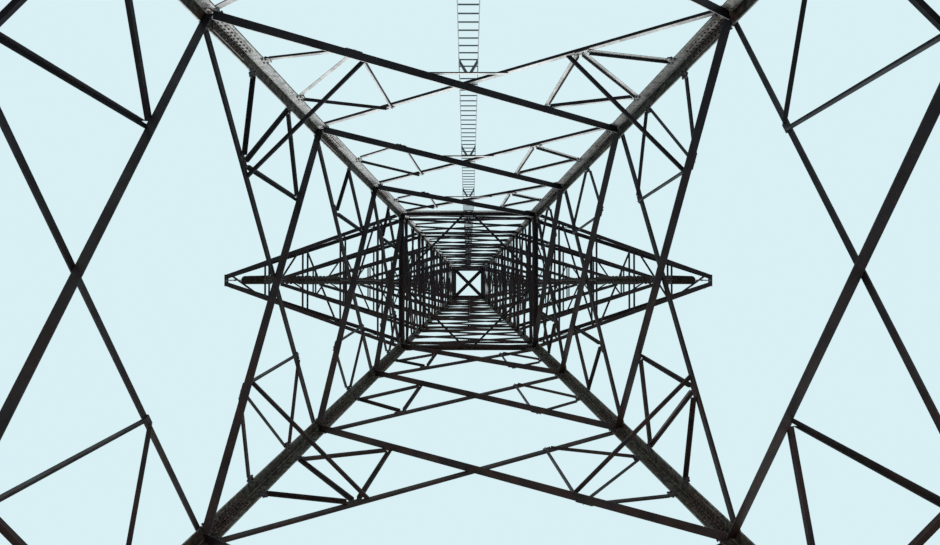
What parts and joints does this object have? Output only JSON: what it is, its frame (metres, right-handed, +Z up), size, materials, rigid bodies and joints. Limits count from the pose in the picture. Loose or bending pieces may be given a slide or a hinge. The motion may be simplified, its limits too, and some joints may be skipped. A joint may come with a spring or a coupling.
{
  "type": "lattice transmission pylon, 1:2 scale model",
  "caption": "Tall self-supporting steel lattice tower with tapering X-braced body and cross arms that carry V-shaped insulator strings, as a 1:2 scale model.",
  "frame": {"origin": "centre of the four feet on the ground", "axes": "+Z up, +X along the cross arms, +Y along the line of the conductors; the ladder is on the -Y face"},
  "size_m": [8.15, 6.09, 31.4026],
  "materials": {
    "leg_steel": "weathered galvanised, matte",
    "bracing_steel": "weathered galvanised, matte",
    "arm_steel": "weathered galvanised, matte",
    "ladder_steel": "galvanised, satin",
    "insulator_glaze": "gloss"
  },
  "bodies": {
    "root": {"leg_front_right": "leg_steel", "leg_back_right": "leg_steel", "leg_back_left": "leg_steel", "leg_front_left": "leg_steel", "upper_leg_front_right": "leg_steel", "upper_leg_back_right": "leg_steel", "upper_leg_back_left": "leg_steel", "upper_leg_front_left": "leg_steel", "base_bracing_front": "bracing_steel", "base_bracing_right": "bracing_steel", "base_bracing_back": "bracing_steel", "base_bracing_left": "bracing_steel", "lower_bracing_front": "bracing_steel", "lower_bracing_right": "bracing_steel", "lower_bracing_back": "bracing_steel", "lower_bracing_left": "bracing_steel", "body_bracing_front": "bracing_steel", "body_bracing_right": "bracing_steel", "body_bracing_back": "bracing_steel", "body_bracing_left": "bracing_steel", "base_girts": "bracing_steel", "corner_ties": "bracing_steel", "waist_frame": "bracing_steel", "top_frame": "bracing_steel", "cross_arm_1_right": "arm_steel", "cross_arm_1_left": "arm_steel", "cross_arm_2_right": "arm_steel", "cross_arm_2_left": "arm_steel", "cross_arm_3_right": "arm_steel", "cross_arm_3_left": "arm_steel", "cross_arm_4_right": "arm_steel", "cross_arm_4_left": "arm_steel", "cross_arm_5_right": "arm_steel", "cross_arm_5_left": "arm_steel", "cross_arm_6_right": "arm_steel", "cross_arm_6_left": "arm_steel", "earth_wire_arms": "arm_steel", "insulators_1": "insulator_glaze", "insulators_2": "insulator_glaze", "insulators_3": "insulator_glaze", "insulators_4": "insulator_glaze", "insulators_5": "insulator_glaze", "insulators_6": "insulator_glaze", "ladder_lower": "ladder_steel", "ladder_upper": "ladder_steel"}
  },
  "joints": []
}
